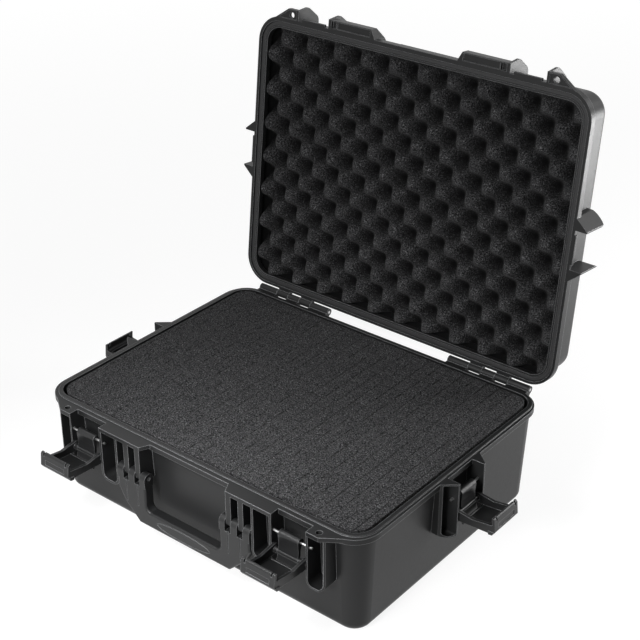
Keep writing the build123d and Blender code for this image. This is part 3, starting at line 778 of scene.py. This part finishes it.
class CASE_OT_deep_foam(bpy.types.Operator):
    """Model the two foam layers under the diced one"""

    bl_idname = "case.deep_foam"
    bl_label = "Deep Foam"
    bl_options = {"REGISTER", "UNDO"}

    def execute(self, context):
        settings = context.scene.case_foam
        material = open_cell_foam("deep_foam", settings, sparkle=0.6)
        layers = (
            ("foam_deep_layer", "foam_lower_layer", 0.0030),
            ("foam_floor_pad", "foam_base_pad", 0.0006),
        )
        for name, node, taper in layers:
            low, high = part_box(node)
            half_x, half_y = high.x - DEEP_FOAM_SIDE_ROOM, high.y - DEEP_FOAM_SIDE_ROOM
            top = high.z - FOAM_FACE_ROOM

            def crown(x, y, top=top, half_x=half_x, half_y=half_y):
                edge = min(half_x - abs(x), half_y - abs(y))
                return top - DEEP_FOAM_EDGE_DROP * max(0.0, 1.0 - edge / DEEP_FOAM_EDGE_REACH) ** 2

            columns = grid_places(DEEP_FOAM_CELLS[0], half_x, DEEP_FOAM_CORNER)
            rows = grid_places(DEEP_FOAM_CELLS[1], half_y, DEEP_FOAM_CORNER)
            foam = foam_sheet(name, columns, rows, half_x, half_y, DEEP_FOAM_CORNER, crown)
            give_depth(foam, low.z + FOAM_FACE_ROOM, taper)
            settle(foam, material, "base", node)
        return {"FINISHED"}


# Stage

# Name, place, target, size in metres, power in watts and angle of the beam in degrees
LAMPS = (
    ("key_lamp", (0.2, -1.45, 0.80), (0.0, 0.1, 0.3), (0.3, 0.3), 20.0, 180.0),
    ("top_lamp", (-0.9, 0.1, 1.4), (0.0, 0.0, 0.2), (0.22, 0.22), 1.8, 180.0),
    ("rim_lamp", (1.15, 1.6, 1.35), (0.2, 0.2, 0.35), (0.6, 0.6), 12.0, 180.0),
    ("side_lamp", (0.82, 0.98, 0.26), (0.27, 0.25, 0.40), (0.35, 0.42), 13.0, 180.0),
    ("front_lamp", (-0.02, -0.62, 0.72), (0.02, -0.27, 0.15), (0.25, 0.25), 1.5, 75.0),
)
WORLD_LIGHT = 0.02
FLOOR_RADIUS = 14.0
FLOOR_FADE_START, FLOOR_FADE_END = 0.5, 2.6
FLOOR_GLOW_NEAR, FLOOR_GLOW_FAR = 0.86, 1.0
SENSOR_WIDTH = 36.0


def aim(obj, target):
    """Turns a lamp to face a point."""
    obj.rotation_mode = "QUATERNION"
    obj.rotation_quaternion = (Vector(target) - obj.location).to_track_quat("-Z", "Y")


def lamp(name, place, target, size, power, spread_angle):
    """Soft rectangular lamp that faces target."""
    data = bpy.data.lights.new(name, "AREA")
    data.shape = "RECTANGLE"
    data.size, data.size_y = size
    data.energy = power
    data.spread = math.radians(spread_angle)
    obj = bpy.data.objects.new(name, data)
    bpy.context.scene.collection.objects.link(obj)
    obj.location = place
    aim(obj, target)


def seen_directly(material):
    """1 where the camera, a mirror or glass sees the surface itself."""
    path = add_node(material, "ShaderNodeLightPath")
    seen = math_node(material, "MAXIMUM", path.outputs["Is Camera Ray"], path.outputs["Is Glossy Ray"])
    return math_node(material, "MAXIMUM", seen, path.outputs["Is Transmission Ray"])


def floor_material(settings):
    """Pale floor that shows white, keeps the soft shadow and runs out into white far off."""
    material = new_material("pale_floor")
    paint = add_node(material, "ShaderNodeBsdfDiffuse", Color=(*settings.floor_colour, 1.0))
    seen_paint = add_node(material, "ShaderNodeBsdfDiffuse", Color=(0.2, 0.2, 0.2, 1.0))
    reach = add_node(material, "ShaderNodeVectorMath", operation="LENGTH")
    join(material, object_coords(material), reach.inputs[0])
    far = add_node(
        material,
        "ShaderNodeMapRange",
        "Runs out into white",
        From_Min=FLOOR_FADE_START,
        From_Max=FLOOR_FADE_END,
        To_Min=FLOOR_GLOW_NEAR,
        To_Max=FLOOR_GLOW_FAR,
    )
    join(material, reach.outputs["Value"], far.inputs["Value"])
    glow = add_node(material, "ShaderNodeEmission")
    join(material, far.outputs["Result"], glow.inputs["Strength"])
    both = add_node(material, "ShaderNodeAddShader")
    join(material, seen_paint.outputs[0], both.inputs[0])
    join(material, glow.outputs[0], both.inputs[1])
    mix = add_node(material, "ShaderNodeMixShader")
    join(material, seen_directly(material), mix.inputs[0])
    join(material, paint.outputs[0], mix.inputs[1])
    join(material, both.outputs[0], mix.inputs[2])
    output = add_node(material, "ShaderNodeOutputMaterial")
    join(material, mix.outputs[0], output.inputs["Surface"])
    return material


class CASE_OT_stage(bpy.types.Operator):
    """Set the floor, the lamps, the world and the camera"""

    bl_idname = "case.stage"
    bl_label = "Stage"
    bl_options = {"REGISTER", "UNDO"}

    def execute(self, context):
        settings = context.scene.case_stage
        clear_selection()
        bpy.ops.mesh.primitive_circle_add(
            vertices=96, radius=FLOOR_RADIUS, fill_type="NGON", location=(0, 0, 0)
        )
        floor = context.object
        floor.name = "floor"
        floor.data.materials.append(floor_material(settings))
        for settings_of_lamp in LAMPS:
            lamp(*settings_of_lamp)
        self.make_world(context)
        self.make_camera(context, settings)
        context.scene.view_settings.view_transform = "Standard"
        return {"FINISHED"}

    def make_world(self, context):
        world = bpy.data.worlds.new("studio")
        world.use_nodes = True
        world.node_tree.nodes.clear()
        soft = add_node(world, "ShaderNodeBackground", Color=(1, 1, 1, 1), Strength=WORLD_LIGHT)
        white = add_node(world, "ShaderNodeBackground", Color=(1, 1, 1, 1), Strength=1.0)
        mix = add_node(world, "ShaderNodeMixShader")
        join(world, seen_directly(world), mix.inputs[0])
        join(world, soft.outputs[0], mix.inputs[1])
        join(world, white.outputs[0], mix.inputs[2])
        output = add_node(world, "ShaderNodeOutputWorld")
        join(world, mix.outputs[0], output.inputs["Surface"])
        context.scene.world = world

    def make_camera(self, context, settings):
        data = bpy.data.cameras.new("camera")
        data.lens = settings.lens
        data.sensor_width = SENSOR_WIDTH
        data.clip_end = 50.0
        camera = bpy.data.objects.new("camera", data)
        context.scene.collection.objects.link(camera)
        camera.location = settings.camera_place
        camera.rotation_euler = (math.pi / 2 - settings.camera_dip, 0.0, settings.camera_turn)
        context.scene.camera = camera


# Panel


OPERATORS = (
    CASE_OT_stage,
    CASE_OT_shells,
    CASE_OT_fittings,
    CASE_OT_trim,
    CASE_OT_lid_foam,
    CASE_OT_pick_foam,
    CASE_OT_deep_foam,
)


class CASE_PT_panel(bpy.types.Panel):
    """Lists the case's settings and the steps that dress it"""

    bl_idname = "CASE_PT_panel"
    bl_label = "Flight Case"
    bl_space_type = "VIEW_3D"
    bl_region_type = "UI"
    bl_category = "Flight Case"

    def draw(self, context):
        layout = self.layout
        for operator in OPERATORS:
            layout.operator(operator.bl_idname)
        for group in SETTINGS:
            layout.separator()
            values = getattr(context.scene, group)
            for key in values.bl_rna.properties.keys():
                if key not in ("rna_type", "name"):
                    layout.prop(values, key)


SETTINGS = {
    "case_plastics": CasePlasticSettings,
    "case_trim": CaseTrimSettings,
    "case_foam": CaseFoamSettings,
    "case_stage": CaseStageSettings,
}


def register():
    for group, kind in SETTINGS.items():
        bpy.utils.register_class(kind)
        setattr(bpy.types.Scene, group, PointerProperty(type=kind))
    for operator in OPERATORS:
        bpy.utils.register_class(operator)
    bpy.utils.register_class(CASE_PT_panel)


def unregister():
    bpy.utils.unregister_class(CASE_PT_panel)
    for operator in reversed(OPERATORS):
        bpy.utils.unregister_class(operator)
    for group, kind in SETTINGS.items():
        delattr(bpy.types.Scene, group)
        bpy.utils.unregister_class(kind)


def main():
    register()
    bpy.ops.case.stage()
    bpy.ops.case.shells()
    bpy.ops.case.fittings()
    bpy.ops.case.trim()
    bpy.ops.case.lid_foam()
    bpy.ops.case.pick_foam()
    bpy.ops.case.deep_foam()
    clear_selection()


if __name__ == "__main__":
    main()
